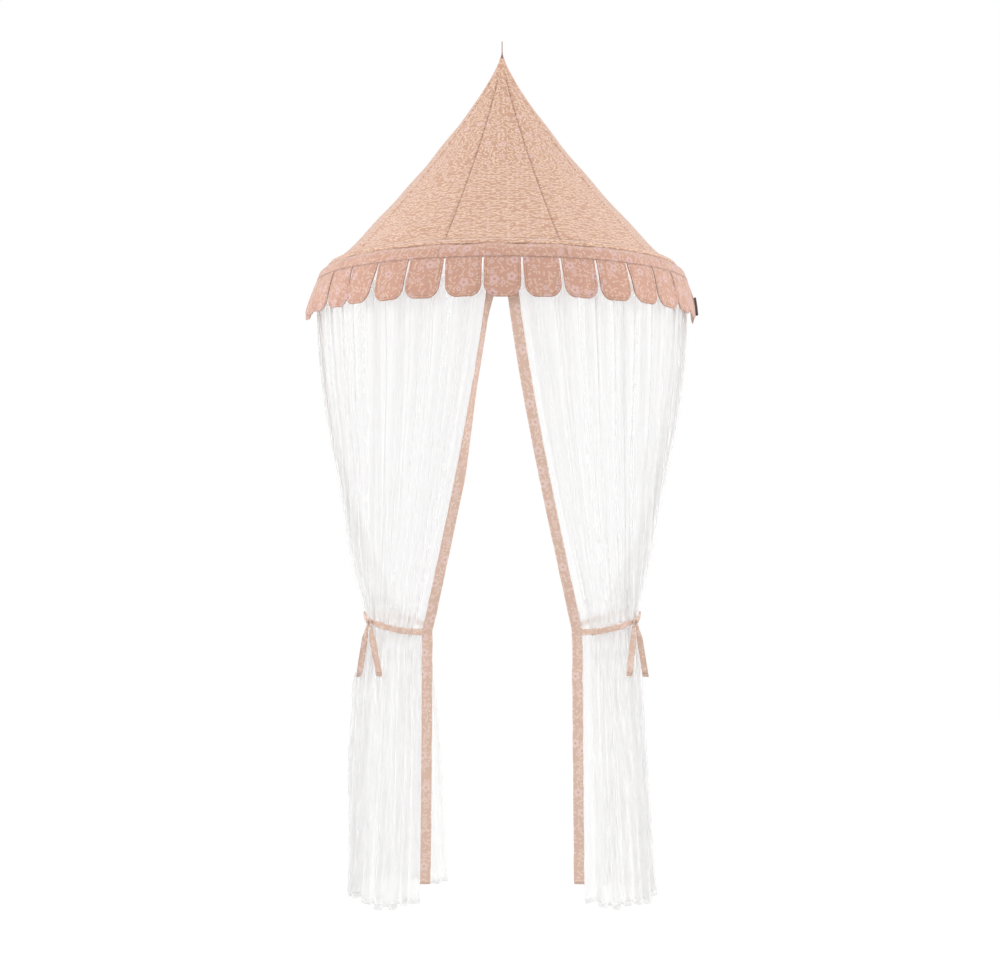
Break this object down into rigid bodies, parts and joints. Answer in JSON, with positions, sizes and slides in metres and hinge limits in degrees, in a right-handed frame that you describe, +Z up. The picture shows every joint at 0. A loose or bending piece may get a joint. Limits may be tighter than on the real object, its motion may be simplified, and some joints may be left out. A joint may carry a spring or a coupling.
{
  "type": "bed crown canopy",
  "caption": "Half-round hanging bed canopy: printed cotton roof over a rod hoop, scalloped valance, and sheer net curtains tied back with ribbons.",
  "frame": {"origin": "where the hook bears, at the top of the hanging loop", "axes": "+Z up; the opening faces -Y; the wall is on the +Y side; +X is to the right seen from the front"},
  "size_m": [1.1131, 0.5612, 2.3594],
  "materials": {
    "print": "peach cotton with a small paler flower print, plain weave, matt",
    "net": "sheer white net, matt",
    "tape": "off-white woven heading tape",
    "cord": "twisted dusty-pink cotton cord",
    "rod": "satin white coated rod",
    "plastic": "white moulded plastic",
    "label": "plain charcoal woven tape"
  },
  "bodies": {
    "root": {"roof_gore_1": "print", "roof_gore_2": "print", "roof_gore_3": "print", "roof_gore_4": "print", "roof_gore_5": "print", "roof_back_panel": "print", "hanging_cord": "cord", "apex_washer": "plastic", "cord_knot": "cord", "hoop_rod_left": "rod", "hoop_rod_front": "rod", "hoop_rod_right": "rod", "hoop_ferrule_right": "plastic", "hoop_ferrule_left": "plastic", "hoop_casing": "print", "back_rail": "rod", "back_rail_casing": "print", "corner_elbow_right": "plastic", "corner_elbow_left": "plastic", "valance_band": "print", "heading_tape_right": "tape", "heading_tape_left": "tape", "net_upper_right": "net", "net_upper_left": "net", "trim_upper_right": "print", "trim_upper_left": "print"},
    "curtain_left": {"net_lower_left": "net", "trim_lower_left": "print", "tie_ribbon_left": "print", "tie_knot_left": "print"},
    "tail_outer_left": {"tie_tail_outer_left": "print"},
    "tail_inner_left": {"tie_tail_inner_left": "print"},
    "curtain_right": {"net_lower_right": "net", "trim_lower_right": "print", "tie_ribbon_right": "print", "tie_knot_right": "print"},
    "tail_outer_right": {"tie_tail_outer_right": "print"},
    "tail_inner_right": {"tie_tail_inner_right": "print"},
    "tab_01": {"valance_tab_01": "print"},
    "tab_02": {"valance_tab_02": "print"},
    "tab_03": {"valance_tab_03": "print"},
    "tab_04": {"valance_tab_04": "print"},
    "tab_05": {"valance_tab_05": "print"},
    "tab_06": {"valance_tab_06": "print"},
    "tab_07": {"valance_tab_07": "print"},
    "tab_08": {"valance_tab_08": "print"},
    "tab_09": {"valance_tab_09": "print"},
    "tab_10": {"valance_tab_10": "print"},
    "tab_11": {"valance_tab_11": "print"},
    "tab_12": {"valance_tab_12": "print"},
    "tab_13": {"valance_tab_13": "print"},
    "tab_14": {"valance_tab_14": "print"},
    "tab_15": {"valance_tab_15": "print"},
    "tab_16": {"valance_tab_16": "print"},
    "tab_17": {"valance_tab_17": "print", "side_label": "label"}
  },
  "joints": [
    {"name": "curtain_sway_left", "type": "hinge", "parent": "root", "child": "curtain_left", "pos_m": [-0.309, 0.0029, -1.188], "axis": [0, 1, 0], "range_deg": [-4, 4]},
    {"name": "curtain_sway_right", "type": "hinge", "parent": "root", "child": "curtain_right", "pos_m": [0.309, 0.0029, -1.188], "axis": [0, 1, 0], "range_deg": [-4, 4]},
    {"name": "tail_lift_outer_left", "type": "hinge", "parent": "curtain_left", "child": "tail_outer_left", "pos_m": [-0.34936, -0.33732, -1.62125], "axis": [-0.6813, 0.732, 0], "range_deg": [0, 55]},
    {"name": "tail_lift_inner_left", "type": "hinge", "parent": "curtain_left", "child": "tail_inner_left", "pos_m": [-0.34936, -0.33732, -1.62125], "axis": [-0.6813, 0.732, 0], "range_deg": [0, 55]},
    {"name": "tail_lift_outer_right", "type": "hinge", "parent": "curtain_right", "child": "tail_outer_right", "pos_m": [0.34936, -0.33732, -1.62125], "axis": [-0.6813, -0.732, 0], "range_deg": [0, 55]},
    {"name": "tail_lift_inner_right", "type": "hinge", "parent": "curtain_right", "child": "tail_inner_right", "pos_m": [0.34936, -0.33732, -1.62125], "axis": [-0.6813, -0.732, 0], "range_deg": [0, 55]},
    {"name": "tab_lift_01", "type": "hinge", "parent": "root", "child": "tab_01", "pos_m": [-0.52223, -0.04549, -0.69543], "axis": [-0.0923, 0.9957, 0], "range_deg": [0, 50]},
    {"name": "tab_lift_02", "type": "hinge", "parent": "root", "child": "tab_02", "pos_m": [-0.50445, -0.14063, -0.69543], "axis": [-0.2737, 0.9618, 0], "range_deg": [0, 50]},
    {"name": "tab_lift_03", "type": "hinge", "parent": "root", "child": "tab_03", "pos_m": [-0.46949, -0.23088, -0.69543], "axis": [-0.4457, 0.8952, 0], "range_deg": [0, 50]},
    {"name": "tab_lift_04", "type": "hinge", "parent": "root", "child": "tab_04", "pos_m": [-0.41854, -0.31316, -0.69543], "axis": [-0.6026, 0.798, 0], "range_deg": [0, 50]},
    {"name": "tab_lift_05", "type": "hinge", "parent": "root", "child": "tab_05", "pos_m": [-0.35333, -0.38469, -0.69543], "axis": [-0.739, 0.6737, 0], "range_deg": [0, 50]},
    {"name": "tab_lift_06", "type": "hinge", "parent": "root", "child": "tab_06", "pos_m": [-0.2761, -0.44301, -0.69543], "axis": [-0.8502, 0.5264, 0], "range_deg": [0, 50]},
    {"name": "tab_lift_07", "type": "hinge", "parent": "root", "child": "tab_07", "pos_m": [-0.18946, -0.48615, -0.69543], "axis": [-0.9325, 0.3612, 0], "range_deg": [0, 50]},
    {"name": "tab_lift_08", "type": "hinge", "parent": "root", "child": "tab_08", "pos_m": [-0.09637, -0.51264, -0.69543], "axis": [-0.983, 0.1838, 0], "range_deg": [0, 50]},
    {"name": "tab_lift_09", "type": "hinge", "parent": "root", "child": "tab_09", "pos_m": [0, -0.52157, -0.69543], "axis": [-1, 0, 0], "range_deg": [0, 50]},
    {"name": "tab_lift_10", "type": "hinge", "parent": "root", "child": "tab_10", "pos_m": [0.09637, -0.51264, -0.69543], "axis": [-0.983, -0.1838, 0], "range_deg": [0, 50]},
    {"name": "tab_lift_11", "type": "hinge", "parent": "root", "child": "tab_11", "pos_m": [0.18946, -0.48615, -0.69543], "axis": [-0.9325, -0.3612, 0], "range_deg": [0, 50]},
    {"name": "tab_lift_12", "type": "hinge", "parent": "root", "child": "tab_12", "pos_m": [0.2761, -0.44301, -0.69543], "axis": [-0.8502, -0.5264, 0], "range_deg": [0, 50]},
    {"name": "tab_lift_13", "type": "hinge", "parent": "root", "child": "tab_13", "pos_m": [0.35333, -0.38469, -0.69543], "axis": [-0.739, -0.6737, 0], "range_deg": [0, 50]},
    {"name": "tab_lift_14", "type": "hinge", "parent": "root", "child": "tab_14", "pos_m": [0.41854, -0.31316, -0.69543], "axis": [-0.6026, -0.798, 0], "range_deg": [0, 50]},
    {"name": "tab_lift_15", "type": "hinge", "parent": "root", "child": "tab_15", "pos_m": [0.46949, -0.23088, -0.69543], "axis": [-0.4457, -0.8952, 0], "range_deg": [0, 50]},
    {"name": "tab_lift_16", "type": "hinge", "parent": "root", "child": "tab_16", "pos_m": [0.50445, -0.14063, -0.69543], "axis": [-0.2737, -0.9618, 0], "range_deg": [0, 50]},
    {"name": "tab_lift_17", "type": "hinge", "parent": "root", "child": "tab_17", "pos_m": [0.52223, -0.04549, -0.69543], "axis": [-0.0923, -0.9957, 0], "range_deg": [0, 50]}
  ]
}
